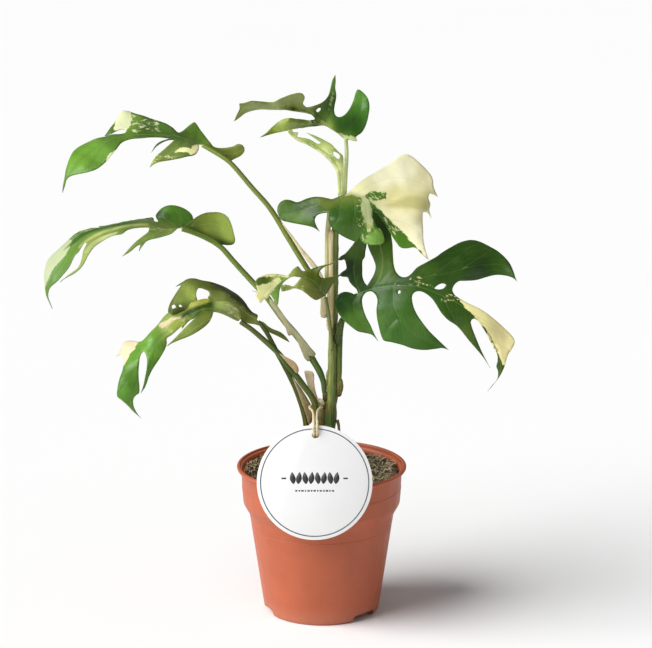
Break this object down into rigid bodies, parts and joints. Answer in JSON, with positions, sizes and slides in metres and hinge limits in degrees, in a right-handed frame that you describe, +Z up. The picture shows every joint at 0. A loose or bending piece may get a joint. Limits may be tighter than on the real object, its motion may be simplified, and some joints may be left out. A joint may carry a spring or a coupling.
{
  "type": "potted mini monstera",
  "caption": "Potted mini monstera: a climbing houseplant with split, cream-marbled leaves on long stalks, in a nursery pot with a round card tag tied on with twine.",
  "frame": {"origin": "centre of the pot's underside, on the plane that the pot stands on", "axes": "+Z up along the pot's axis, -Y the side with the hanging tag, +X the side of the biggest leaf"},
  "size_m": [0.3278, 0.1266, 0.3803],
  "materials": {
    "pot": "satin terracotta-coloured plastic",
    "soil": "loose peat and bark",
    "card": "matt white card",
    "twine": "twisted natural fibre",
    "stalk": "smooth green stalk",
    "leaf": "glossy above, matt below",
    "dry_sheath": "dry papery sheath",
    "green_sheath": "fresh green sheath"
  },
  "bodies": {
    "root": {"pot": "pot", "soil": "soil", "tag": "card", "twine": "twine", "twine_knot": "twine", "main_stem": "stalk", "stem_bud": "stalk", "aerial_root": "stalk", "petiole_top": "stalk", "petiole_cream": "stalk", "petiole_upper_left": "stalk", "petiole_left": "stalk", "petiole_small": "stalk", "petiole_right": "stalk", "petiole_lower_back": "stalk", "petiole_lower_front": "stalk", "leaf_top": "leaf", "leaf_cream": "leaf", "leaf_right": "leaf", "leaf_upper_left": "leaf", "leaf_left": "leaf", "leaf_small": "leaf", "leaf_lower_back": "leaf", "leaf_lower_front": "leaf", "new_leaf": "leaf", "sheath_upper_left": "dry_sheath", "sheath_left": "dry_sheath", "sheath_stem": "dry_sheath", "sheath_right": "green_sheath", "sheath_lower": "dry_sheath", "sheath_lower_front": "dry_sheath", "dry_strip": "dry_sheath"}
  },
  "joints": []
}
